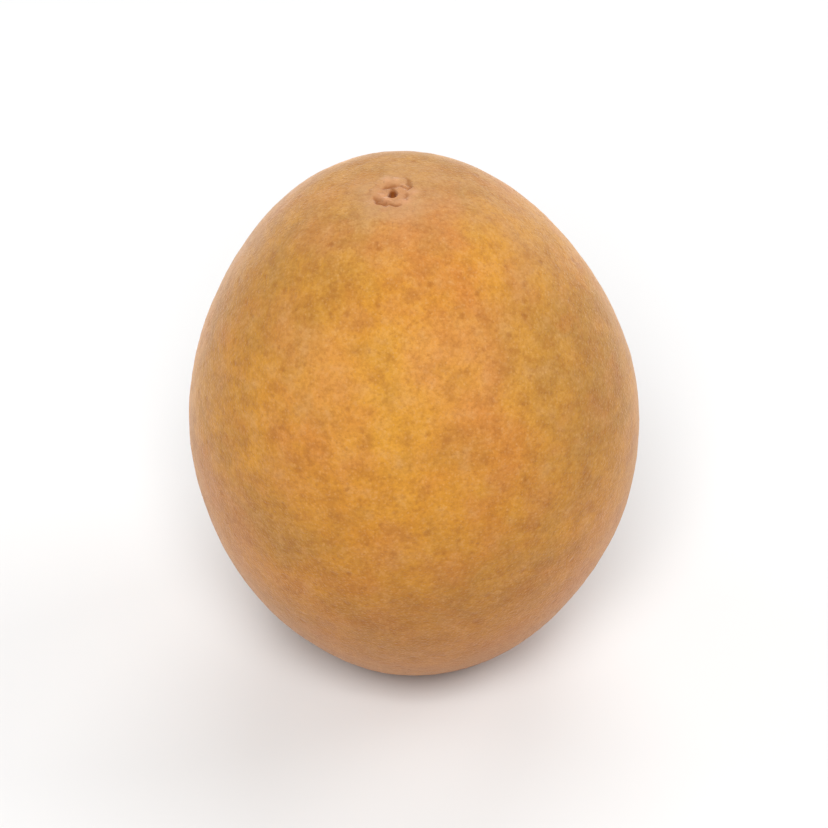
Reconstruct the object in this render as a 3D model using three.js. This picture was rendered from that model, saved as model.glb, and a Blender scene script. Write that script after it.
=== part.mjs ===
// A ripe sapodilla, whole and as picked, standing on its blossom end: one egg-shaped body, a little
// broader towards the stem than towards the foot, with the scar of its stem and calyx on top.
// Millimetres, +Z up, origin at the middle of the underside of its box, front towards -Y.
import * as THREE from "three";

// Driving dimensions of the body.
const EQUATOR_DIAMETER = 60;
const LENGTH = 79; // from the stem pole to the blossom pole, before the dimple and the foot are made
const SHOULDER = 0.042; // how much fuller than an ellipse the stem end is, and slimmer the blossom end
const TAPER = 0.042; // how much slimmer than an ellipse both ends are
const LEAN_DEG = 3.4; // the stem leans to -X
const FOOT = { radius: 7.5, rounding: 0.45 }; // the small flat spot that it stands on, and its soft edge

// The body isn't quite round: each swelling is a share of the radius, a number of lobes round the axis,
// the direction of its first crest in degrees, and the height of its middle from -1, blossom, to 1, stem.
const SWELLINGS = [
  { share: 0.005, lobes: 1, crestDeg: -28, middle: 0.25 },
  { share: 0.017, lobes: 2, crestDeg: 158, middle: 0 },
  { share: 0.024, lobes: 3, crestDeg: -18, middle: 0.45 },
  { share: 0.009, lobes: 3, crestDeg: 113, middle: -0.45 },
  { share: 0.008, lobes: 4, crestDeg: 79, middle: 0.1 },
];
const SWELLING_REACH = 0.45; // how far up and down a swelling fades out, as a share of half the length

// The stem end, by distance from the stem pole.
const DIMPLE = { radius: 6.2, depth: 0.9 };
const CALYX_DISC = { radius: 1.9, edge: 0.7, height: 0.4, sepals: 6, wave: 0.12 };
const CALYX_WAVES = [
  { share: 1, lobes: CALYX_DISC.sepals, turn: 0 },
  { share: 0.5, lobes: 2, turn: 1 },
  { share: 0.4, lobes: 5, turn: 2 },
]; // how the outline of the disc and its groove wanders, as shares of its wave, with turns in radians
const CALYX_GROOVE = { radius: 2.4, width: 0.55, depth: 0.36, unevenness: 0.6, deepestDeg: 40 };
const SEPAL_CREASES = { from: 2.6, to: 7, depth: 0.18, sharpness: 6, turnDeg: 12 };
const STALK_PIT = { floor: 0.3, mouth: 0.85, depth: 1.1 };

// The blossom end: the scar of the style, a shallow pock in the foot.
const STYLE_SCAR = { radius: 1.1, depth: 0.45 };

const SKIN = { color: 0xc98c48, roughness: 0.8, metalness: 0 };

// Fineness of the mesh.
const SIDES = 72;
const RINGS = 56;
const POLE_CROWDING = 0.88; // how closely the rings crowd towards the poles, from 0 to 1

const radians = THREE.MathUtils.degToRad;
const smoothstep = (x, low, high) => THREE.MathUtils.smoothstep(x, low, high);
const bell = (x) => Math.exp(-x * x);

// The share of the way round the profile at which ring number i lies, crowded towards both poles.
function ringTurn(i) {
  const even = i / RINGS;
  return even - (POLE_CROWDING / (2 * Math.PI)) * Math.sin(2 * Math.PI * even);
}

// The body's lengthwise profile from the blossom pole up to the stem pole, as a lathe turns it.
function profile() {
  const points = [];
  for (let i = 0; i <= RINGS; i++) {
    const turn = Math.PI * ringTurn(i);
    const height = -Math.cos(turn);
    const fullness = 1 + SHOULDER * height ** 3 - TAPER * height ** 2;
    const atPole = i === 0 || i === RINGS;
    const radius = atPole ? 0 : (EQUATOR_DIAMETER / 2) * Math.sin(turn) * fullness;
    points.push(new THREE.Vector2(radius, (LENGTH / 2) * height));
  }
  return points;
}

// The share by which the body swells out at a direction round the axis and a height from -1 to 1.
function swelling(direction, height) {
  return SWELLINGS.reduce((sum, { share, lobes, crestDeg, middle }) => {
    const round = Math.cos(lobes * (direction - radians(crestDeg)));
    return sum + share * round * bell((height - middle) / SWELLING_REACH);
  }, 0);
}

// How high the stem end's surface stands above the plain profile.
function stemRelief(distance, direction) {
  const uneven = CALYX_WAVES.reduce(
    (sum, { share, lobes, turn }) => sum + share * Math.cos(lobes * direction + turn),
    0,
  );
  const outline = 1 + CALYX_DISC.wave * uneven;
  const discEdge = CALYX_DISC.radius * outline;
  const disc = CALYX_DISC.height * (1 - smoothstep(distance, discEdge - CALYX_DISC.edge, discEdge));

  const { unevenness, deepestDeg } = CALYX_GROOVE;
  const oneSided = 1 + unevenness * Math.cos(2 * (direction - radians(deepestDeg)));
  const across = (distance - CALYX_GROOVE.radius * outline) / CALYX_GROOVE.width;
  const groove = -CALYX_GROOVE.depth * oneSided * bell(across);

  const { from, to, sharpness, turnDeg } = SEPAL_CREASES;
  const middle = (from + to) / 2;
  const along = bell((distance - middle) / ((to - from) / 2));
  const line = ((1 + Math.cos(CALYX_DISC.sepals * (direction - radians(turnDeg)))) / 2) ** sharpness;
  const creases = -SEPAL_CREASES.depth * along * line;

  const pit = -STALK_PIT.depth * (1 - smoothstep(distance, STALK_PIT.floor, STALK_PIT.mouth));
  const dimple = -DIMPLE.depth * bell(distance / DIMPLE.radius);
  return dimple + disc + groove + creases + pit;
}

// The height of the level cut across the body's low end that has the foot's radius.
function footLevel(places) {
  const lowest = new THREE.Vector3(0, 0, Infinity);
  const place = new THREE.Vector3();
  for (let i = 0; i < places.count; i++) {
    place.fromBufferAttribute(places, i);
    if (place.z < lowest.z) lowest.copy(place);
  }
  let level = Infinity;
  for (let i = 0; i < places.count; i++) {
    place.fromBufferAttribute(places, i);
    const out = Math.hypot(place.x - lowest.x, place.y - lowest.y);
    if (out > FOOT.radius) level = Math.min(level, place.z);
  }
  return level;
}

// Flattens the low end into the foot, with a soft edge and the style's scar, and brings it to height 0.
function standOnFoot(geometry, pole) {
  const places = geometry.getAttribute("position");
  const level = footLevel(places);
  for (let i = 0; i < places.count; i++) {
    const above = Math.max(0, places.getZ(i) - level);
    const eased = above ** 2 / (above + FOOT.rounding);
    const out = Math.hypot(places.getX(i) - pole.x, places.getY(i) - pole.y);
    const atFoot = above === 0 ? 1 - smoothstep(out, STYLE_SCAR.radius / 2, STYLE_SCAR.radius) : 0;
    places.setZ(i, eased + STYLE_SCAR.depth * atFoot);
  }
}

// The fruit's skin as a turned profile, with +Z along the stem, then swollen, marked and leant over.
function fruitGeometry() {
  const geometry = new THREE.LatheGeometry(profile(), SIDES);
  geometry.deleteAttribute("normal");
  geometry.deleteAttribute("uv");
  geometry.rotateX(Math.PI / 2);

  const lean = new THREE.Matrix4().makeRotationY(-radians(LEAN_DEG));
  const places = geometry.getAttribute("position");
  const place = new THREE.Vector3();
  for (let i = 0; i < places.count; i++) {
    place.fromBufferAttribute(places, i);
    const direction = Math.atan2(place.y, place.x);
    const height = place.z / (LENGTH / 2);
    const distance = Math.hypot(place.x, place.y);
    const grown = 1 + swelling(direction, height);
    place.x *= grown;
    place.y *= grown;
    if (height > 0) place.z += stemRelief(distance, direction);
    place.applyMatrix4(lean);
    places.setXYZ(i, place.x, place.y, place.z);
  }
  standOnFoot(geometry, new THREE.Vector3(0, 0, -LENGTH / 2).applyMatrix4(lean));
  geometry.computeBoundingBox();
  const { min, max } = geometry.boundingBox;
  geometry.translate(-(min.x + max.x) / 2, -(min.y + max.y) / 2, 0);
  return geometry;
}

// The scurfy, matt skin of a ripe fruit.
function skinMaterial() {
  return new THREE.MeshStandardMaterial(SKIN);
}

const fruit = new THREE.Mesh(fruitGeometry(), skinMaterial());
fruit.name = "fruit";

const sapodilla = new THREE.Group();
sapodilla.add(fruit);

export default sapodilla;
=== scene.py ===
"""A ripe sapodilla, whole and as picked: its scurfy skin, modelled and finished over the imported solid.

The skin is one closed piece of even quads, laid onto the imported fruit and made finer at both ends. Its
unevenness, scurf and grain are in the mesh, and its colours follow both the mesh's relief and the place on
the fruit. Lengths are metres in the mesh, and millimetres in the finishes and the stem's scar.
"""

from __future__ import annotations

import logging
import math
from dataclasses import dataclass, field
from enum import Enum

import bmesh
import bpy
import numpy as np
from mathutils import Matrix, Vector, noise


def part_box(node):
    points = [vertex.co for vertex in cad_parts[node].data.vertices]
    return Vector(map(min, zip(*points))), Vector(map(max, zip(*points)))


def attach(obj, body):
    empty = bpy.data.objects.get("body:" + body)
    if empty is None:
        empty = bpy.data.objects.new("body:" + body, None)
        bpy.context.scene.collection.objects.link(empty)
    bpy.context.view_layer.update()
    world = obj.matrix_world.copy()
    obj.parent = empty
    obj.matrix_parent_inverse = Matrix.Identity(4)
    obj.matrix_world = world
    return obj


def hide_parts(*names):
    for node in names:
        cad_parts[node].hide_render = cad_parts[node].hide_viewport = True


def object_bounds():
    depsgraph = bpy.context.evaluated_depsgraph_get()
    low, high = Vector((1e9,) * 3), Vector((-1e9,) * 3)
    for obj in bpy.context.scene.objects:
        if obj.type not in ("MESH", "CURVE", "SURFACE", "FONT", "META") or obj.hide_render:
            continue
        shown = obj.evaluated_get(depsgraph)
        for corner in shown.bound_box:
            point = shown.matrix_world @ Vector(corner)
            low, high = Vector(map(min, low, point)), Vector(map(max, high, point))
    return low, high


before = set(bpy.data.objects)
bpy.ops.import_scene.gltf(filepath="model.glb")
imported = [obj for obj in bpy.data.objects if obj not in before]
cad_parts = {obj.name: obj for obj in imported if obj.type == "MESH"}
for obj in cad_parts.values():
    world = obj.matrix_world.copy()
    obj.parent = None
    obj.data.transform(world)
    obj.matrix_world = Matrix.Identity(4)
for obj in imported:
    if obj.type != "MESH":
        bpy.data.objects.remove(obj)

log = logging.getLogger("sapodilla")

MM = 0.001
MM_PER_METRE = 1000
CAD_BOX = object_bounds()
SMOOTHING = 0.5  # how far one smoothing pass takes a vertex to the middle of its neighbours
LEAST_SHARE = 0.01  # the least share of a feature that moves a vertex


# ---------------------------------------------------------------------------------------------------
# Shader maths
# ---------------------------------------------------------------------------------------------------


Socket = bpy.types.NodeSocket
Operand = "Signal | float"  # what a signal is added to, taken from or multiplied by


class Signal:
    """A number that changes over the surface: a socket, with arithmetic that adds its Math nodes."""

    def __init__(self, bench: ShaderBench, socket: Socket) -> None:
        """Wraps a socket.

        Args:
            bench: the material's nodes.
            socket: the output socket that carries the number.
        """
        self.bench = bench
        self.socket = socket

    def _math(self, operation: str, *others: Operand, swapped: bool = False) -> Signal:
        """Adds a Math node on this signal.

        Args:
            operation: the Math node's operation.
            others: the other operands.
            swapped: whether this signal comes second.

        Returns:
            The node's result.
        """
        values = [self, *others]
        if swapped:
            values[0], values[1] = values[1], values[0]
        made = self.bench.node("ShaderNodeMath", {"operation": operation}, dict(enumerate(values)))
        return Signal(self.bench, made.outputs[0])

    def __add__(self, other: Operand) -> Signal:
        """The sum."""
        return self._math("ADD", other)

    __radd__ = __add__

    def __sub__(self, other: Operand) -> Signal:
        """The difference."""
        return self._math("SUBTRACT", other)

    def __rsub__(self, other: Operand) -> Signal:
        """The difference from a number."""
        return self._math("SUBTRACT", other, swapped=True)

    def __mul__(self, other: Operand) -> Signal:
        """The product."""
        return self._math("MULTIPLY", other)

    __rmul__ = __mul__

    def rise(self, low: float, high: float) -> Signal:
        """Eases from 0 at one value to 1 at another.

        Args:
            low: the value that gives 0.
            high: the value that gives 1, which may be the smaller.

        Returns:
            The eased share, from 0 to 1.
        """
        made = self.bench.node(
            "ShaderNodeMapRange",
            {"interpolation_type": "SMOOTHSTEP"},
            {"Value": self, "From Min": low, "From Max": high},
        )
        return Signal(self.bench, made.outputs["Result"])


@dataclass(frozen=True)
class Tint:
    """A colour, in the eight-bit values that a screen shows."""

    red: int
    green: int
    blue: int

    def linear(self) -> tuple[float, float, float, float]:
        """The colour as scene-linear light, with full alpha."""

        def light(value: int) -> float:
            """One channel as light, on the curve that screens use."""
            share = value / 255
            return share / 12.92 if share <= 0.04045 else ((share + 0.055) / 1.055) ** 2.4

        return light(self.red), light(self.green), light(self.blue), 1.0


@dataclass(frozen=True)
class Pattern:
    """Soft random variation.

    Attributes:
        size: the rough size of its patches in millimetres.
        detail: how many finer layers it has.
        rough: how strong the finer layers are.
        draw: a number that picks one draw of it.
    """

    size: float
    detail: float
    rough: float
    draw: float


class ShaderBench:
    """The nodes of one material, measured in millimetres on the piece's own coordinates."""

    def __init__(self, name: str) -> None:
        """Starts an empty material.

        Args:
            name: the material's name.
        """
        self.material = bpy.data.materials.new(name)
        self.material.use_nodes = True
        self.tree = self.material.node_tree
        self.tree.nodes.clear()
        self.noises: dict[Pattern, Signal] = {}
        place = self.node("ShaderNodeTexCoord", {}, {}).outputs["Object"]
        scaled = self.node("ShaderNodeMapping", {}, {"Vector": place, "Scale": (MM_PER_METRE,) * 3})
        self.place = scaled.outputs["Vector"]

    def node(self, kind: str, settings: dict, values: dict) -> bpy.types.Node:
        """Adds a node.

        Args:
            kind: the node's type.
            settings: its settings, which are set first.
            values: socket names or numbers, with a value, a socket, a Signal or a Tint for each.

        Returns:
            The new node.
        """
        made = self.tree.nodes.new(kind)
        for name, value in settings.items():
            setattr(made, name, value)
        for key, value in values.items():
            socket = made.inputs[key]
            if isinstance(value, Signal):
                self.tree.links.new(value.socket, socket)
            elif isinstance(value, Socket):
                self.tree.links.new(value, socket)
            elif isinstance(value, Tint):
                socket.default_value = value.linear()
            else:
                socket.default_value = value
        return made

    def noise(self, pattern: Pattern) -> Signal:
        """Soft random variation, made once for each pattern.

        Args:
            pattern: what the variation is like.

        Returns:
            The variation, about 0.5 on average.
        """
        if pattern not in self.noises:
            made = self.node(
                "ShaderNodeTexNoise",
                {"noise_dimensions": "4D"},
                {
                    "Vector": self.place,
                    "W": pattern.draw,
                    "Scale": 1 / pattern.size,
                    "Detail": pattern.detail,
                    "Roughness": pattern.rough,
                },
            )
            self.noises[pattern] = Signal(self, made.outputs["Fac"])
        return self.noises[pattern]

    def grains(self, size: float) -> tuple[Signal, Signal]:
        """Scattered grains.

        Args:
            size: the distance between grains in millimetres.

        Returns:
            The distance from the nearest grain's middle, and a random number of that grain.
        """
        made = self.node("ShaderNodeTexVoronoi", {}, {"Vector": self.place, "Scale": 1 / size})
        draw = self.node("ShaderNodeSeparateColor", {}, {"Color": made.outputs["Color"]})
        return Signal(self, made.outputs["Distance"]), Signal(self, draw.outputs["Red"])

    def mark(self, name: str) -> Signal:
        """A number stored on the mesh.

        Args:
            name: the attribute's name.

        Returns:
            Its value.
        """
        made = self.node("ShaderNodeAttribute", {"attribute_name": name}, {})
        return Signal(self, made.outputs["Fac"])

    def away_from(self, point: Vector) -> Signal:
        """The distance from a point.

        Args:
            point: the point, in metres.

        Returns:
            The distance in millimetres.
        """
        made = self.node(
            "ShaderNodeVectorMath",
            {"operation": "DISTANCE"},
            {0: self.place, 1: tuple(MM_PER_METRE * point)},
        )
        return Signal(self, made.outputs["Value"])

    def coat(self, under: Tint | Socket, over: Tint, share: Signal) -> Socket:
        """Lays one colour over another.

        Args:
            under: the colour below.
            over: the colour on top.
            share: how much of the top colour covers.

        Returns:
            The mixed colour.
        """
        made = self.node("ShaderNodeMix", {"data_type": "RGBA"}, {0: share, 6: under, 7: over})
        return made.outputs[2]

    def finish(self, values: dict) -> bpy.types.Material:
        """Ends the material in a Principled shader.

        Args:
            values: the shader's socket values and links.

        Returns:
            The material.
        """
        shader = self.node("ShaderNodeBsdfPrincipled", {}, values)
        self.node("ShaderNodeOutputMaterial", {}, {"Surface": shader.outputs["BSDF"]})
        return self.material


# ---------------------------------------------------------------------------------------------------
# Finishes
# ---------------------------------------------------------------------------------------------------


@dataclass(frozen=True)
class Cheek:
    """A patch of another colour: most are where the skin is rubbed or ripened, and the dusty ones high on
    the sides are partly dusty scurf and partly painted sheen.

    Attributes:
        bearing: the direction round the fruit that its middle faces, in degrees.
        rise: how far that middle faces up, in degrees.
        reach: how far its tint reaches from the middle, in millimetres.
        tint: its colour.
        share: how much of that colour covers in the middle.
    """

    bearing: float
    rise: float
    reach: float
    tint: Tint
    share: float

    def middle(self) -> Vector:
        """The patch's middle, in metres, on a plain ball as big as the fruit."""
        low, high = CAD_BOX
        turn, up = math.radians(self.bearing), math.radians(self.rise)
        way = Vector((math.cos(turn) * math.cos(up), math.sin(turn) * math.cos(up), math.sin(up)))
        return (low + high) / 2 + way * (high - low) / 2


@dataclass(frozen=True)
class Blush:
    """A tint that spreads from one end of the fruit and thins out over a ragged edge.

    Attributes:
        tint: the colour.
        share: how much of it covers at the end itself.
        outer: how far from the end it is gone, in millimetres.
        inner: how far from the end it is full, in millimetres.
        edge: how its edge is ragged.
        raggedness: how far the edge wanders in and out, in millimetres.
    """

    tint: Tint
    share: float
    outer: float
    inner: float
    edge: Pattern
    raggedness: float

    def lay(self, bench: ShaderBench, colour: Socket, away: Signal) -> Socket:
        """Lays the tint over a colour.

        Args:
            bench: the material's nodes.
            colour: the colour so far.
            away: the distance from the end, in millimetres.

        Returns:
            The new colour.
        """
        ragged = away + (bench.noise(self.edge) - 0.5) * self.raggedness
        return bench.coat(colour, self.tint, ragged.rise(self.outer, self.inner) * self.share)


@dataclass(frozen=True)
class Scurf:
    """The skin's finest roughness, as it is both coloured and raised.

    Attributes:
        sand: soft grains of about half a millimetre.
        dust: the same, finer.
        dome: how near a point is to the middle of its round grain, from 0 to 1.
        grit: a random number of that grain.
        pores: where the pores are, from 0 to 1.
    """

    sand: Signal
    dust: Signal
    dome: Signal
    grit: Signal
    pores: Signal


@dataclass(frozen=True)
class ScurfySkin:
    """The matt, scurfy skin of a ripe sapodilla, golden where it is rubbed and khaki where it isn't.

    Its tints come first, then how it shines, then its sizes in millimetres, and then its patterns.
    """

    golden: Tint = Tint(209, 143, 49)
    khaki: Tint = Tint(171, 124, 58)
    orange: Tint = Tint(198, 124, 56)
    rosy: Tint = Tint(194, 128, 80)
    peach: Tint = Tint(212, 146, 80)
    yellow: Tint = Tint(214, 153, 56)
    brown: Tint = Tint(150, 90, 42)
    rust: Tint = Tint(150, 84, 36)
    # painted shade: makes the colour darker and deeper towards the bottom of the fruit
    painted_shade_amber: Tint = Tint(152, 84, 2)
    pore: Tint = Tint(146, 84, 32)
    flake: Tint = Tint(214, 166, 112)
    # pale dusty pink: partly dusty scurf and partly painted sheen on the top and the upper rims
    dust_and_sheen: Tint = Tint(192, 148, 106)
    cork: Tint = Tint(190, 134, 92)
    # pale pink of the scar's pads, partly their cork and partly a painted highlight on the raised lumps
    scab_and_highlight: Tint = Tint(222, 166, 128)
    # dark brown of the scar's bark, its cracks and the style's pock; in the creases and the scar's cracks it
    # is also painted shade
    crack: Tint = Tint(136, 80, 38)
    # dark brown of the stalk's pit, partly its dried tissue and partly painted shade in the hollow
    pit: Tint = Tint(134, 72, 24)
    roughness: float = 0.72
    roughness_swing: float = 0.2
    specular: float = 0.06
    sheen: float = 0.55
    sheen_roughness: float = 0.42
    sheen_tint: Tint = Tint(240, 214, 196)
    bump_strength: float = 0.65
    bump_height: float = 0.16
    grit_spacing: float = 0.38
    pore_spacing: float = 2.1
    pock: float = 1.2
    cheek_raggedness: float = 24
    cheek_core: float = 0.3
    broad: Pattern = Pattern(22, 2, 0.5, 3.1)
    mottling: Pattern = Pattern(4.2, 4, 0.6, 1.7)
    cheek_edge: Pattern = Pattern(9, 4, 0.6, 8.2)
    drift: Pattern = Pattern(7, 3, 0.55, 14.2)
    tinge: Pattern = Pattern(5, 3, 0.55, 21.6)
    fleck: Pattern = Pattern(2.6, 3, 0.55, 12.9)
    stem_edge: Pattern = Pattern(4, 3, 0.55, 2.2)
    low_shade_edge: Pattern = Pattern(9, 3, 0.55, 5.7)
    style_edge: Pattern = Pattern(3, 2, 0.5, 6.1)
    sand: Pattern = Pattern(0.6, 3, 0.6, 9.7)
    dust: Pattern = Pattern(0.22, 2, 0.6, 17.3)
    pore_edge: Pattern = Pattern(0.6, 2, 0.5, 0.4)
    bark: Pattern = Pattern(0.8, 4, 0.65, 4.4)

    def cheeks(self) -> tuple[Cheek, ...]:
        """The coloured patches, the broad ones first."""
        return (
            Cheek(-95, 32, 32, self.golden, 0.85),
            Cheek(55, 15, 30, self.golden, 0.8),
            Cheek(175, -25, 26, self.golden, 0.7),
            Cheek(-20, -35, 24, self.orange, 0.6),
            Cheek(120, -40, 22, self.orange, 0.5),
            Cheek(-150, -10, 16, self.rosy, 0.4),
            Cheek(20, 45, 14, self.yellow, 0.4),
            # These two patches high on the sides are partly dusty scurf and partly painted sheen on the
            # upper rims.
            Cheek(165, 48, 13, self.dust_and_sheen, 0.7),
            Cheek(2, 64, 12, self.dust_and_sheen, 0.45),
            Cheek(-143, 43, 11, self.khaki, 0.5),
            Cheek(-151, 64, 11, self.khaki, 0.5),
            Cheek(-120, 38, 11, self.peach, 0.5),
            Cheek(-97, 36, 12, self.yellow, 0.6),
            Cheek(-72, 42, 12, self.peach, 0.55),
            Cheek(-40, 39, 14, self.khaki, 0.5),
            Cheek(-82, 72, 12, self.orange, 0.75),
            Cheek(-113, 20, 11, self.orange, 0.25),
            Cheek(-72, 25, 12, self.orange, 0.35),
        )

    def ground(self, bench: ShaderBench) -> Socket:
        """Lays the broad colours: khaki, with golden drifts and cheeks, mottled orange and rosy.

        Args:
            bench: the material's nodes.

        Returns:
            The colour.
        """
        broad = bench.noise(self.broad) * 0.7 + bench.noise(self.mottling) * 0.3
        colour = bench.coat(self.khaki, self.golden, broad.rise(0.4, 0.62) * 0.75)
        ragged = (bench.noise(self.cheek_edge) - 0.5) * self.cheek_raggedness
        for cheek in self.cheeks():
            away = bench.away_from(cheek.middle()) + ragged
            spread = away.rise(cheek.reach, self.cheek_core * cheek.reach)
            colour = bench.coat(colour, cheek.tint, spread * cheek.share)
        drift, tinge, fleck = (bench.noise(pattern) for pattern in (self.drift, self.tinge, self.fleck))
        colour = bench.coat(colour, self.rosy, drift.rise(0.48, 0.66) * 0.3)
        colour = bench.coat(colour, self.khaki, drift.rise(0.5, 0.32) * 0.4)
        colour = bench.coat(colour, self.yellow, tinge.rise(0.48, 0.66) * 0.35)
        colour = bench.coat(colour, self.orange, tinge.rise(0.5, 0.32) * 0.3)
        colour = bench.coat(colour, self.flake, fleck.rise(0.5, 0.74) * 0.26)
        return bench.coat(colour, self.brown, fleck.rise(0.52, 0.3) * 0.35)

    def scurf(self, bench: ShaderBench) -> Scurf:
        """Makes the skin's finest roughness.

        Args:
            bench: the material's nodes.

        Returns:
            Its parts.
        """
        from_grain, grit = bench.grains(self.grit_spacing)
        from_pore, pore_draw = bench.grains(self.pore_spacing)
        from_rim = from_pore + bench.noise(self.pore_edge) * 0.4
        return Scurf(
            sand=bench.noise(self.sand),
            dust=bench.noise(self.dust),
            dome=from_grain.rise(0.62, 0.1),
            grit=grit,
            pores=from_rim.rise(0.52, 0.26) * pore_draw.rise(0.3, 0.95),
        )

    def lay_scurf(self, bench: ShaderBench, colour: Socket, scurf: Scurf) -> Socket:
        """Speckles a colour with the finest roughness.

        Args:
            bench: the material's nodes.
            colour: the colour so far.
            scurf: the finest roughness.

        Returns:
            The new colour.
        """
        colour = bench.coat(colour, self.brown, scurf.sand.rise(0.54, 0.34) * 0.23)
        colour = bench.coat(colour, self.flake, scurf.sand.rise(0.5, 0.7) * 0.2)
        colour = bench.coat(colour, self.brown, scurf.grit.rise(0.6, 1.0) * 0.16)
        colour = bench.coat(colour, self.flake, scurf.grit.rise(0.4, 0.0) * scurf.dome * 0.26)
        colour = bench.coat(colour, self.brown, scurf.dust.rise(0.5, 0.3) * 0.14)
        return bench.coat(colour, self.pore, scurf.pores * 0.42)

    def lay_marks(self, bench: ShaderBench, colour: Socket) -> Socket:
        """Colours what is modelled: the stem scar's cork, pads, cracks and pit, and the skin's relief. The
        creases get painted shade, the cracks and pit are dark partly with painted shade, and the pads are
        pale partly with a painted highlight.

        Args:
            bench: the material's nodes.
            colour: the colour so far.

        Returns:
            The new colour.
        """
        cork, relief = bench.mark("cork"), bench.mark("relief")
        colour = bench.coat(colour, self.cork, cork * 0.7)
        colour = bench.coat(colour, self.crack, cork * bench.noise(self.bark).rise(0.5, 0.3) * 0.3)
        # The raised pads are pale partly as cork and partly as a painted highlight.
        colour = bench.coat(colour, self.scab_and_highlight, bench.mark("pad") * 0.5)
        colour = bench.coat(colour, self.flake, relief.rise(0.03, 0.14) * 0.15)
        # Painted shade: the skin darkens where its relief dips into creases.
        colour = bench.coat(colour, self.crack, relief.rise(-0.04, -0.3) * 0.3)
        # The cracks are dark partly as their own tissue and partly as painted shade in the furrows.
        colour = bench.coat(colour, self.crack, bench.mark("crack") * 0.8)
        # The pit is dark partly as its dried tissue and partly as painted shade in the hollow.
        return bench.coat(colour, self.pit, bench.mark("pit").rise(0.05, 0.6))

    def height(self, bench: ShaderBench, scurf: Scurf) -> Signal:
        """How high the finest roughness stands, as a share of the bump's height.

        Args:
            bench: the material's nodes.
            scurf: the finest roughness.

        Returns:
            The height.
        """
        grains = scurf.sand * 0.8 + scurf.dome * (scurf.grit * 0.35 + 0.15) + scurf.dust * 0.3
        return grains - scurf.pores * 0.5 + bench.mark("cork") * bench.noise(self.bark)

    def material(self, stem: Vector, style: Vector) -> bpy.types.Material:
        """Makes the skin's material.

        Args:
            stem: the middle of the stem's scar.
            style: the middle of the style's scar.

        Returns:
            The material.
        """
        bench = ShaderBench("scurfy_skin")
        from_stem, from_style = bench.away_from(stem), bench.away_from(style)
        scurf = self.scurf(bench)

        # Partly dusty scurf and partly painted sheen: the top of the fruit, round the stem, is paler and
        # pinker.
        stem_dust_and_sheen = Blush(self.dust_and_sheen, 0.5, 15, 0, self.stem_edge, 12)
        scar_dust_and_sheen = Blush(self.dust_and_sheen, 0.35, 8, 2, self.stem_edge, 12)
        # Painted shade: an amber tint makes the skin darker and deeper in colour towards the bottom of the
        # fruit.
        painted_low_shade = Blush(self.painted_shade_amber, 0.75, 66, 14, self.low_shade_edge, 16)
        style_halo = Blush(self.rust, 0.4, 11.5, 0.5, self.style_edge, 5)

        colour = self.ground(bench)
        colour = stem_dust_and_sheen.lay(bench, colour, from_stem)
        # painted shade towards the bottom of the fruit
        colour = painted_low_shade.lay(bench, colour, from_style)
        colour = style_halo.lay(bench, colour, from_style)
        colour = self.lay_scurf(bench, colour, scurf)
        colour = scar_dust_and_sheen.lay(bench, colour, from_stem)
        colour = self.lay_marks(bench, colour)
        colour = bench.coat(colour, self.crack, from_style.rise(self.pock, self.pock / 2) * 0.8)

        bump = bench.node(
            "ShaderNodeBump",
            {},
            {
                "Strength": self.bump_strength,
                "Distance": self.bump_height * MM,
                "Height": self.height(bench, scurf),
            },
        )
        return bench.finish(
            {
                "Base Color": colour,
                "Roughness": (scurf.sand - 0.5) * self.roughness_swing + self.roughness,
                "Specular IOR Level": self.specular,
                "Sheen Weight": self.sheen,
                "Sheen Roughness": self.sheen_roughness,
                "Sheen Tint": self.sheen_tint,
                "Normal": bump.outputs["Normal"],
            }
        )


@dataclass(frozen=True)
class PaleGround:
    """The matt white ground that the fruit stands on."""

    tint: Tint = Tint(230, 230, 230)
    roughness: float = 0.9
    specular: float = 0.1

    def material(self) -> bpy.types.Material:
        """Makes the ground's material."""
        values = {
            "Base Color": self.tint,
            "Roughness": self.roughness,
            "Specular IOR Level": self.specular,
        }
        return ShaderBench("pale_ground").finish(values)


# ---------------------------------------------------------------------------------------------------
# The fruit
# ---------------------------------------------------------------------------------------------------


class Relief(Enum):
    """The kinds of unevenness that are in the skin's mesh, coarse to fine."""

    SWELLS = "swells"
    DENTS = "dents"
    SCURF = "scurf"
    GRAIN = "grain"


@dataclass(frozen=True)
class ReliefLayer:
    """One layer of unevenness: clouds of this size, this height from dip to crest, in this many grades."""

    kind: Relief
    size: float
    height: float
    depth: int


def deselect_all() -> None:
    """Leaves every object unselected, so that an operator acts on one piece alone."""
    if bpy.context.mode != "OBJECT":
        bpy.ops.object.mode_set(mode="OBJECT")
    bpy.ops.object.select_all(action="DESELECT")


def take_up(piece: bpy.types.Object) -> None:
    """Makes one object the selected, active one."""
    deselect_all()
    piece.select_set(True)
    bpy.context.view_layer.objects.active = piece


def apply_modifier(piece: bpy.types.Object, kind: str, **settings: object) -> None:
    """Adds a modifier and applies it at once.

    Args:
        piece: the piece.
        kind: the modifier's type.
        settings: its settings.
    """
    take_up(piece)
    made = piece.modifiers.new(kind.lower(), kind)
    for name, value in settings.items():
        setattr(made, name, value)
    bpy.ops.object.modifier_apply(modifier=made.name)


def corners(piece: bpy.types.Object) -> np.ndarray:
    """The places of a piece's vertices, one row each."""
    places = np.empty(len(piece.data.vertices) * 3, np.float32)
    piece.data.vertices.foreach_get("co", places)
    return places.reshape(-1, 3)


@dataclass(frozen=True)
class Crack:
    """A furrow in the scar: a stretch of a spiral round the stem pole.

    Attributes:
        bearing: the direction of its middle, in degrees.
        half_turn: how far it runs to either side of that, in degrees.
        radius: how far out its middle is, in millimetres.
        width: its width in millimetres.
        share: its share of the cracks' depth.
        spread: how much farther out its far end is than its middle, in millimetres.
    """

    bearing: float
    half_turn: float
    radius: float
    width: float
    share: float
    spread: float = 0.0


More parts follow.
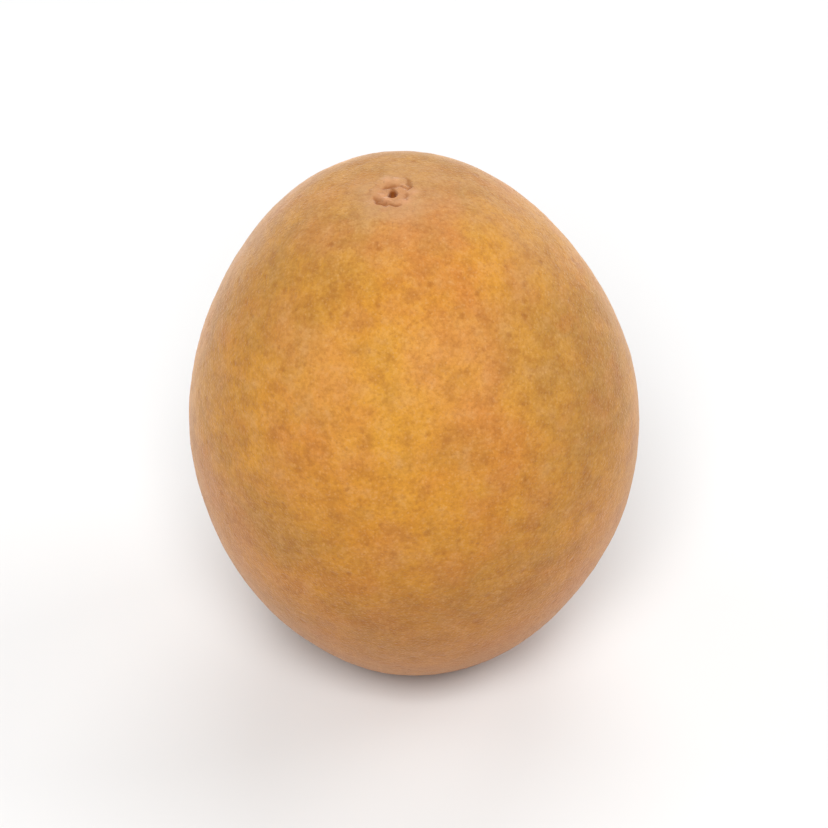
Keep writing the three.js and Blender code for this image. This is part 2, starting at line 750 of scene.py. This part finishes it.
@dataclass(frozen=True)
class Pad:
    """A soft corky lump in the scar.

    Attributes:
        bearing: its direction from the stem pole, in degrees.
        radius: how far out it is, in millimetres.
        size: its radius in millimetres.
        share: its share of the pads' height.
    """

    bearing: float
    radius: float
    size: float
    share: float


@dataclass(frozen=True)
class StemScar:
    """The corky scar that the stalk and the calyx leave, in millimetres and degrees from the stem pole.

    Attributes:
        reach: the scar's radius.
        cork_edge: how far its edge fades out.
        cork_size: the size of the cork's lumps.
        cork_height: how high they stand.
        pit: the radius of the stalk's pit, across.
        pit_edge: the width of its sloping side.
        pit_stretch: how much longer it is from front to back.
        pit_back: how far behind the pole its middle is.
        pit_corners: how many soft corners it has.
        pit_corner_share: by what share it is wider at its corners and narrower at its flats.
        pit_turn: how far round its first flat is.
        pit_depth: how deep it is.
        pad_height: how high the highest pad stands.
        crack_depth: how deep the deepest crack is.
        puckers: how many soft folds run out from the scar.
        pucker_turn: how far round the first one is.
        pucker_wander: how far they wander round.
        pucker_middle: how far out they are deepest.
        pucker_spread: how far they run in and out from there.
        pucker_depth: how deep they are.
        wander_reach: how far out the edges wander.
        wander_rate: how finely they wander, in waves to a millimetre.
        raggedness: by what share the outlines of scar and pit wander.
        crack_raggedness: by what share the cracks wander in and out.
        crack_fraying: by what share of their half turn the cracks' ends wander.
        depth: how far below the pole the scar may reach, which keeps it off the foot.
        cracks: the furrows in it.
        pads: the lumps in it.
    """

    reach: float = 3.4
    cork_edge: float = 1.4
    cork_size: float = 0.7
    cork_height: float = 0.2
    pit: float = 0.52
    pit_edge: float = 0.4
    pit_stretch: float = 1.5
    pit_back: float = 0.48
    pit_corners: int = 3
    pit_corner_share: float = 0.12
    pit_turn: float = 30
    pit_depth: float = 0.9
    pad_height: float = 0.26
    crack_depth: float = 0.3
    puckers: int = 6
    pucker_turn: float = 12
    pucker_wander: float = 14
    pucker_middle: float = 5.1
    pucker_spread: float = 2.38
    pucker_depth: float = 0.06
    wander_reach: float = 13.6
    wander_rate: float = 1.1
    raggedness: float = 0.3
    crack_raggedness: float = 0.25
    crack_fraying: float = 0.35
    depth: float = 20
    cracks: tuple[Crack, ...] = (
        Crack(220, 34, 2.1, 0.75, 1.0, -0.25),
        Crack(266, 30, 2.1, 0.6, 0.9, 0.1),
        Crack(46, 20, 3.0, 0.8, 0.85, 0.9),
        Crack(104, 30, 1.9, 0.9, 1.0),
        Crack(60, 22, 2.1, 0.7, 0.7),
        Crack(-14, 22, 1.7, 0.8, 0.7),
        Crack(160, 18, 3.2, 0.5, 0.35),
    )
    pads: tuple[Pad, ...] = (
        Pad(220, 1.35, 0.55, 1.0),
        Pad(182, 1.5, 0.5, 0.6),
        Pad(106, 3.3, 0.75, 0.8),
        Pad(84, 3.2, 0.6, 0.8),
        Pad(58, 2.2, 0.5, 0.6),
        Pad(318, 2.1, 0.7, 0.7),
        Pad(8, 2.8, 0.7, 0.6),
        Pad(206, 3.2, 0.7, 0.3),
    )

    def furrows(self, out: np.ndarray, bearing: np.ndarray, wander: np.ndarray) -> np.ndarray:
        """Works out where the cracks are.

        Args:
            out: each vertex's distance from the stem pole, across the axis.
            bearing: its direction round the axis, in degrees.
            wander: a small random number for it, about 0 on average.

        Returns:
            Shares from 0 to 1.
        """
        share = np.zeros_like(out)
        for line in self.cracks:
            turn = ((bearing - line.bearing + 180) % 360 - 180) / line.half_turn
            middle = line.radius + line.spread * np.clip(turn, -1, 1)
            across = (out * (1 + self.crack_raggedness * wander) - middle) / (line.width / 2)
            along = np.clip(np.abs(turn) + self.crack_fraying * wander, 0, None)
            share = np.maximum(share, line.share * np.exp(-(across**2) - along**4))
        return share

    def lumps(self, x: np.ndarray, y: np.ndarray) -> np.ndarray:
        """Works out where the pads are.

        Args:
            x: each vertex's place to the right of the stem pole.
            y: its place behind the stem pole.

        Returns:
            Shares from 0 to 1.
        """
        share = np.zeros_like(x)
        for pad in self.pads:
            turn = math.radians(pad.bearing)
            away = np.hypot(x - pad.radius * math.cos(turn), y - pad.radius * math.sin(turn))
            share = np.maximum(share, pad.share * np.exp(-((away / pad.size) ** 2)))
        return share

    def hollow(self, x: np.ndarray, y: np.ndarray, wander: np.ndarray) -> np.ndarray:
        """Works out where the stalk's pit is.

        Args:
            x: each vertex's place to the right of the stem pole.
            y: its place behind the stem pole.
            wander: a small random number for it, about 0 on average.

        Returns:
            Shares from 0 to 1.
        """
        behind = (y - self.pit_back) / self.pit_stretch
        out, bearing = np.hypot(x, behind), np.arctan2(behind, x)
        waves = self.pit_corner_share * np.cos(self.pit_corners * (bearing - math.radians(self.pit_turn)))
        ragged = out * (1 + self.raggedness * wander + waves)
        return np.clip((self.pit + self.pit_edge / 2 - ragged) / self.pit_edge, 0, 1)

    def folds(self, out: np.ndarray, bearing: np.ndarray, wander: np.ndarray) -> np.ndarray:
        """Works out where the skin puckers towards the scar.

        Args:
            out: each vertex's distance from the stem pole, across the axis.
            bearing: its direction round the axis, in degrees.
            wander: a small random number for it, about 0 on average.

        Returns:
            Shares from 0 to 1.
        """
        turn = self.puckers * (bearing - self.pucker_turn + self.pucker_wander * wander)
        ray = ((1 + np.cos(np.radians(turn))) / 2) ** 2
        return ray * np.exp(-(((out - self.pucker_middle) / self.pucker_spread) ** 2))

    def masks(self, x: np.ndarray, y: np.ndarray, wander: np.ndarray) -> dict[str, np.ndarray]:
        """Works out where the scar's features are.

        Args:
            x: each vertex's place to the right of the stem pole.
            y: its place behind the stem pole.
            wander: a small random number for it, about 0 on average.

        Returns:
            Shares from 0 to 1 of "pit", "pad", "crack", "pucker" and "cork".
        """
        out, bearing = np.hypot(x, y), np.degrees(np.arctan2(y, x))
        ragged = out * (1 + self.raggedness * wander)
        return {
            "pit": self.hollow(x, y, wander),
            "pad": self.lumps(x, y),
            "crack": self.furrows(out, bearing, wander),
            "pucker": self.folds(out, bearing, wander),
            "cork": np.clip((self.reach - ragged) / self.cork_edge, 0, 1),
        }


@dataclass
class FruitSkin:
    """The whole fruit's skin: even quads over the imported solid, finer at both ends, with its relief.

    Attributes:
        node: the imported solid's name.
        lean: how far the stem leans to the left, in degrees.
        rows: how many quads there are along each edge of the cube that becomes the skin.
        clearance: how far off the solid the skin is before it is laid on.
        merge: how near each other the solid's loose corners are merged.
        quad_angle: how far, in degrees, two triangles may fold or skew and still become a quad.
        guide_levels: how often the guide is subdivided.
        crease_reach: how far from the stem the solid's creases are smoothed out.
        crease_passes: how often they are smoothed.
        cap_reach: how far from the stem the solid's scar is cut off.
        cap_rim: the share of that reach by which the cap's rim is inset.
        finer: how far from the stem the quads are halved, each time.
        style_reach: how far from the style they are halved.
        foot_still: the height up to which the foot has no relief.
        foot_blend: how much farther up the relief is full.
        relief_passes: how often the skin is smoothed to see what stands above it.
        layers: its unevenness, coarse to fine.
        scar: its stem scar.
        finish: its finish.
        stem: the middle of the stem's scar, once it is found.
        style: the middle of the style's scar, once it is found.
        piece: the skin, once it is built.
    """

    node: str = "fruit"
    lean: float = 3.4
    rows: int = 116
    clearance: float = 3.0 * MM
    merge: float = 0.001 * MM
    quad_angle: float = 60
    guide_levels: int = 2
    crease_reach: float = 11.0 * MM
    crease_passes: int = 14
    cap_reach: float = 4.0 * MM
    cap_rim: float = 0.3
    finer: tuple[float, ...] = (7.5 * MM, 5.0 * MM, 3.6 * MM)
    style_reach: float = 3.0 * MM
    foot_still: float = 0.2 * MM
    foot_blend: float = 2.5 * MM
    relief_passes: int = 24
    layers: tuple[ReliefLayer, ...] = (
        ReliefLayer(Relief.SWELLS, 16 * MM, 0.3 * MM, 1),
        ReliefLayer(Relief.DENTS, 5.5 * MM, 0.12 * MM, 2),
        ReliefLayer(Relief.SCURF, 2.2 * MM, 0.08 * MM, 3),
        ReliefLayer(Relief.GRAIN, 1.0 * MM, 0.07 * MM, 2),
    )
    scar: StemScar = StemScar()
    finish: ScurfySkin = ScurfySkin()
    stem: Vector = field(default_factory=Vector)
    style: Vector = field(default_factory=Vector)
    piece: bpy.types.Object | None = None

    def axis(self) -> Vector:
        """The direction from the blossom end to the stem."""
        tilt = math.radians(self.lean)
        return Vector((-math.sin(tilt), 0, math.cos(tilt)))

    def smooth_guide(self) -> bpy.types.Object:
        """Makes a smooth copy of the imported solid, with a plain cap in place of the stem's scar.

        Returns:
            The guide, which is only there to lay the skin on.
        """
        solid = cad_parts[self.node]
        guide = bpy.data.objects.new("guide", solid.data.copy())
        bpy.context.scene.collection.objects.link(guide)
        take_up(guide)
        bpy.ops.object.mode_set(mode="EDIT")
        bpy.ops.mesh.select_all(action="SELECT")
        bpy.ops.mesh.remove_doubles(threshold=self.merge)
        limit = math.radians(self.quad_angle)
        bpy.ops.mesh.tris_convert_to_quads(face_threshold=limit, shape_threshold=limit)
        bpy.ops.object.mode_set(mode="OBJECT")
        self.find_poles(guide)
        self.smooth_creases(guide)
        self.cap_scar(guide)
        apply_modifier(guide, "SUBSURF", levels=self.guide_levels, render_levels=self.guide_levels)
        return guide

    def find_poles(self, guide: bpy.types.Object) -> None:
        """Finds the poles, where the solid's rings close and most edges meet.

        Args:
            guide: the merged copy of the solid.
        """
        counts = np.zeros(len(guide.data.vertices), int)
        for edge in guide.data.edges:
            counts[edge.vertices[0]] += 1
            counts[edge.vertices[1]] += 1
        poles = [guide.data.vertices[int(i)].co.copy() for i in np.argsort(counts)[-2:]]
        self.style, self.stem = sorted(poles, key=lambda pole: pole.z)

    def smooth_creases(self, guide: bpy.types.Object) -> None:
        """Smooths the coarse creases round the stem out of the guide, because the skin gets its own.

        Args:
            guide: the merged copy of the solid.
        """
        take_up(guide)
        bpy.ops.object.mode_set(mode="EDIT")
        bpy.ops.mesh.select_all(action="DESELECT")
        cage = bmesh.from_edit_mesh(guide.data)
        for corner in cage.verts:
            corner.select = (corner.co - self.stem).length < self.crease_reach
        cage.select_flush_mode()
        bmesh.update_edit_mesh(guide.data)
        bpy.ops.mesh.vertices_smooth(factor=SMOOTHING, repeat=self.crease_passes)
        bpy.ops.object.mode_set(mode="OBJECT")

    def cap_scar(self, guide: bpy.types.Object) -> None:
        """Takes the coarse scar off the guide, closes it plainly and brings the stem's pole up to the cap.

        Args:
            guide: the merged copy of the solid.
        """
        take_up(guide)
        bpy.ops.object.mode_set(mode="EDIT")
        bpy.ops.mesh.select_all(action="DESELECT")
        cage = bmesh.from_edit_mesh(guide.data)
        for face in cage.faces:
            face.select = (face.calc_center_median() - self.stem).length < self.cap_reach
        cage.select_flush_mode()
        bmesh.update_edit_mesh(guide.data)
        bpy.ops.mesh.delete(type="FACE")
        cage = bmesh.from_edit_mesh(guide.data)
        rim = [edge for edge in cage.edges if edge.is_boundary]
        for edge in rim:
            edge.select = True
        cage.select_flush_mode()
        # The ends stay in order, so that every run gives the same sum.
        ends = dict.fromkeys(end for edge in rim for end in edge.verts)
        self.stem = sum((end.co for end in ends), Vector()) / len(ends)
        bmesh.update_edit_mesh(guide.data)
        bpy.ops.mesh.edge_face_add()
        bpy.ops.mesh.inset(thickness=self.cap_rim * self.cap_reach)
        bpy.ops.object.mode_set(mode="OBJECT")

    def lay_skin(self, guide: bpy.types.Object) -> bpy.types.Object:
        """Blows a cube up to an even ball of quads, makes it finer at both ends and lays it on the guide.

        Args:
            guide: the smooth copy of the solid.

        Returns:
            The skin, without its fine relief.
        """
        middle = (self.stem + self.style) / 2
        radius = (self.stem - self.style).length / 2 + self.clearance
        deselect_all()
        bpy.ops.mesh.primitive_cube_add(size=2 * radius)
        skin = bpy.context.active_object
        skin.name = skin.data.name = "sapodilla_skin"
        bpy.ops.object.mode_set(mode="EDIT")
        bpy.ops.mesh.select_all(action="SELECT")
        # One subdivision makes at most 100 cuts, so the rows are made in two.
        bpy.ops.mesh.subdivide(number_cuts=self.rows // 2 - 1)
        bpy.ops.mesh.subdivide(number_cuts=1)
        bpy.ops.object.mode_set(mode="OBJECT")
        # With a radius of 0, the modifier reaches every vertex.
        apply_modifier(
            skin, "CAST", cast_type="SPHERE", factor=1.0, radius=0, size=radius, use_radius_as_size=False
        )
        low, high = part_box(self.node)
        across = ((high.x - low.x) / 2 + self.clearance) / radius
        skin.data.transform(
            Matrix.Translation(middle)
            @ self.axis().to_track_quat("Z", "Y").to_matrix().to_4x4()
            @ Matrix.Diagonal((across, across, 1, 1))
        )
        top = middle + radius * self.axis()
        for reach in self.finer:
            self.refine(skin, top, reach)
        self.refine(skin, middle - radius * self.axis(), self.style_reach)
        apply_modifier(
            skin,
            "SHRINKWRAP",
            target=guide,
            wrap_method="PROJECT",
            use_negative_direction=True,
            use_positive_direction=False,
        )
        return skin

    def refine(self, skin: bpy.types.Object, middle: Vector, reach: float) -> None:
        """Halves the quads round a point.

        Args:
            skin: the skin.
            middle: the point.
            reach: how far round it.
        """
        take_up(skin)
        bpy.ops.object.mode_set(mode="EDIT")
        bpy.ops.mesh.select_all(action="DESELECT")
        cage = bmesh.from_edit_mesh(skin.data)
        for face in cage.faces:
            face.select = (face.calc_center_median() - middle).length < reach
        cage.select_flush_mode()
        bmesh.update_edit_mesh(skin.data)
        bpy.ops.mesh.subdivide(number_cuts=1)
        bpy.ops.object.mode_set(mode="OBJECT")

    def raise_relief(self, skin: bpy.types.Object) -> None:
        """Raises the layers of unevenness, all but flat on the foot.

        Args:
            skin: the skin.
        """
        heights = corners(skin)[:, 2]
        clear = np.clip((heights - self.foot_still) / self.foot_blend, 0, 1)
        clear_of_foot = "clear_of_foot"
        group = skin.vertex_groups.new(name=clear_of_foot)
        # A group takes one share for many vertices at a time, so the shares go in a few steps.
        steps = 10
        for step in range(steps + 1):
            chosen = np.flatnonzero(np.round(clear * steps) == step)
            group.add([int(i) for i in chosen], step / steps, "REPLACE")
        for layer in self.layers:
            texture = bpy.data.textures.new(layer.kind.value, "CLOUDS")
            texture.noise_scale = layer.size
            texture.noise_depth = layer.depth
            apply_modifier(
                skin,
                "DISPLACE",
                texture=texture,
                texture_coords="LOCAL",
                strength=layer.height,
                mid_level=0.5,
                vertex_group=clear_of_foot,
            )
            log.info("%s raised by up to %.2f mm", layer.kind.value, layer.height / 2 / MM)
        skin.vertex_groups.clear()

    def work_scar(self, skin: bpy.types.Object) -> None:
        """Raises the scar's cork and pads, opens its cracks and pit, and stores where they all are.

        Args:
            skin: the skin.
        """
        axis = self.axis()
        right = Vector((0, 1, 0)).cross(axis).normalized()
        back = axis.cross(right)
        off = corners(skin) - np.array(self.stem)
        x, y, z = (off @ np.array(way) / MM for way in (right, back, axis))
        # What is straight under the scar, on the foot, is put out of its reach.
        x = np.where(z > -self.scar.depth, x, np.inf)
        wander = np.zeros_like(y)
        for i in np.flatnonzero(np.hypot(x, y) < self.scar.wander_reach):
            wander[i] = noise.noise(Vector((x[i], y[i], 0)) * self.scar.wander_rate)
        masks = self.scar.masks(x, y, wander)
        lumps = bpy.data.textures.new("cork", "CLOUDS")
        lumps.noise_scale = self.scar.cork_size * MM
        moves = {
            "cork": {"texture": lumps, "texture_coords": "LOCAL", "strength": self.scar.cork_height * MM},
            "pad": {"strength": self.scar.pad_height * MM, "mid_level": 0.0},
            "pucker": {"strength": -self.scar.pucker_depth * MM, "mid_level": 0.0},
            "crack": {"strength": -self.scar.crack_depth * MM, "mid_level": 0.0},
            "pit": {"strength": -self.scar.pit_depth * MM, "mid_level": 0.0},
        }
        for name, settings in moves.items():
            group = skin.vertex_groups.new(name=name)
            for i in np.flatnonzero(masks[name] > LEAST_SHARE):
                group.add([int(i)], float(masks[name][i]), "REPLACE")
            apply_modifier(skin, "DISPLACE", direction="Z", vertex_group=name, **settings)
        skin.vertex_groups.clear()
        for name in ("pit", "pad", "crack", "cork"):
            stored = skin.data.attributes.new(name, "FLOAT", "POINT")
            stored.data.foreach_set("value", masks[name].astype(np.float32))
        log.info("stem scar worked: %d cracks, %.1f mm across", len(self.scar.cracks), 2 * self.scar.reach)

    def mark_relief(self, skin: bpy.types.Object) -> None:
        """Stores how far each vertex stands above the smoothed skin round it, in millimetres.

        Args:
            skin: the skin.
        """
        before = corners(skin)
        smoothed = skin.copy()
        smoothed.data = skin.data.copy()
        bpy.context.scene.collection.objects.link(smoothed)
        apply_modifier(smoothed, "SMOOTH", factor=SMOOTHING, iterations=self.relief_passes)
        after = corners(smoothed)
        bpy.data.objects.remove(smoothed)
        normals = np.empty(len(before) * 3, np.float32)
        skin.data.vertex_normals.foreach_get("vector", normals)
        stands = ((before - after) * normals.reshape(-1, 3)).sum(axis=1) / MM
        stored = skin.data.attributes.new("relief", "FLOAT", "POINT")
        stored.data.foreach_set("value", stands.astype(np.float32))
        log.info("relief runs from %.2f to %.2f mm", stands.min(), stands.max())

    def build(self) -> bpy.types.Object:
        """Models the skin.

        Returns:
            The finished piece, without its material.
        """
        guide = self.smooth_guide()
        skin = self.lay_skin(guide)
        bpy.data.objects.remove(guide)
        self.raise_relief(skin)
        self.work_scar(skin)
        self.mark_relief(skin)
        take_up(skin)
        bpy.ops.object.shade_smooth()
        self.piece = skin
        triangles = sum(len(face.vertices) - 2 for face in skin.data.polygons)
        log.info("%s has %d triangles", skin.name, triangles)
        return skin

    def dress(self) -> None:
        """Gives the skin its finish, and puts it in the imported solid's place."""
        self.piece.data.materials.clear()
        self.piece.data.materials.append(self.finish.material(self.stem, self.style))
        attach(self.piece, "root")
        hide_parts(self.node)


# ---------------------------------------------------------------------------------------------------
# The studio
# ---------------------------------------------------------------------------------------------------


@dataclass(frozen=True)
class SoftLamp:
    """A square soft white light: where it hangs and its side, in metres, and its power in watts."""

    name: str
    place: tuple[float, float, float]
    side: float
    power: float


@dataclass
class Studio:
    """The pale ground, the soft lights and the camera, in metres, degrees and, for its lens, millimetres."""

    aim: Vector = field(default_factory=lambda: (CAD_BOX[0] + CAD_BOX[1]) / 2)
    distance: float = 0.70
    elevation: float = 40.5
    lens: float = 225.0
    sensor: float = 36.0
    clip: tuple[float, float] = (0.01, 50.0)
    ground_side: float = 8.0
    sky: float = 0.26
    lamps: tuple[SoftLamp, ...] = (
        SoftLamp("key", (-0.05, -0.84, 1.06), 0.6, 15.2),
        SoftLamp("left", (-1.1, 0.3, 0.7), 0.7, 2.6),
        SoftLamp("right", (1.1, 0.35, 0.75), 0.7, 5.8),
        SoftLamp("back", (0.15, 1.0, 1.0), 0.9, 7.5),
    )
    finish: PaleGround = PaleGround()

    def build(self) -> None:
        """Lays the ground and sets up the lights, the sky and the camera."""
        deselect_all()
        bpy.ops.mesh.primitive_plane_add(size=self.ground_side)
        ground = bpy.context.active_object
        ground.name = "ground"
        ground.data.materials.append(self.finish.material())
        for lamp in self.lamps:
            self.hang(lamp)
        self.light_sky()
        self.place_camera()

    def hang(self, lamp: SoftLamp) -> None:
        """Hangs one light, turned to the fruit.

        Args:
            lamp: the light.
        """
        data = bpy.data.lights.new(lamp.name, "AREA")
        data.shape = "SQUARE"
        data.size = lamp.side
        data.energy = lamp.power
        made = bpy.data.objects.new(lamp.name, data)
        made.location = lamp.place
        made.rotation_euler = (self.aim - made.location).to_track_quat("-Z", "Y").to_euler()
        bpy.context.scene.collection.objects.link(made)

    def light_sky(self) -> None:
        """Fills the room with even white light."""
        world = bpy.data.worlds.new("room")
        world.use_nodes = True
        shade = world.node_tree.nodes["Background"]
        shade.inputs["Color"].default_value = (1.0, 1.0, 1.0, 1.0)
        shade.inputs["Strength"].default_value = self.sky
        bpy.context.scene.world = world

    def place_camera(self) -> None:
        """Places the camera in front of the fruit, above it and far off, with a long lens."""
        data = bpy.data.cameras.new("camera")
        data.lens = self.lens
        data.sensor_width = self.sensor
        data.clip_start, data.clip_end = self.clip
        made = bpy.data.objects.new("camera", data)
        rise = math.radians(self.elevation)
        made.location = self.aim + self.distance * Vector((0, -math.cos(rise), math.sin(rise)))
        made.rotation_euler = (self.aim - made.location).to_track_quat("-Z", "Y").to_euler()
        bpy.context.scene.collection.objects.link(made)
        bpy.context.scene.camera = made
        bpy.context.scene.view_settings.view_transform = "Standard"
        bpy.context.scene.view_settings.look = "None"


def main() -> None:
    """Builds the fruit and the studio, and reports each piece."""
    logging.basicConfig(level=logging.INFO, format="%(name)s: %(message)s")
    fruit = FruitSkin()
    fruit.build()
    fruit.dress()
    log.info("stem scar at %s, style scar at %s", tuple(fruit.stem), tuple(fruit.style))
    Studio().build()
    log.info("ground, lights and camera are set up")


if __name__ == "__main__":
    main()
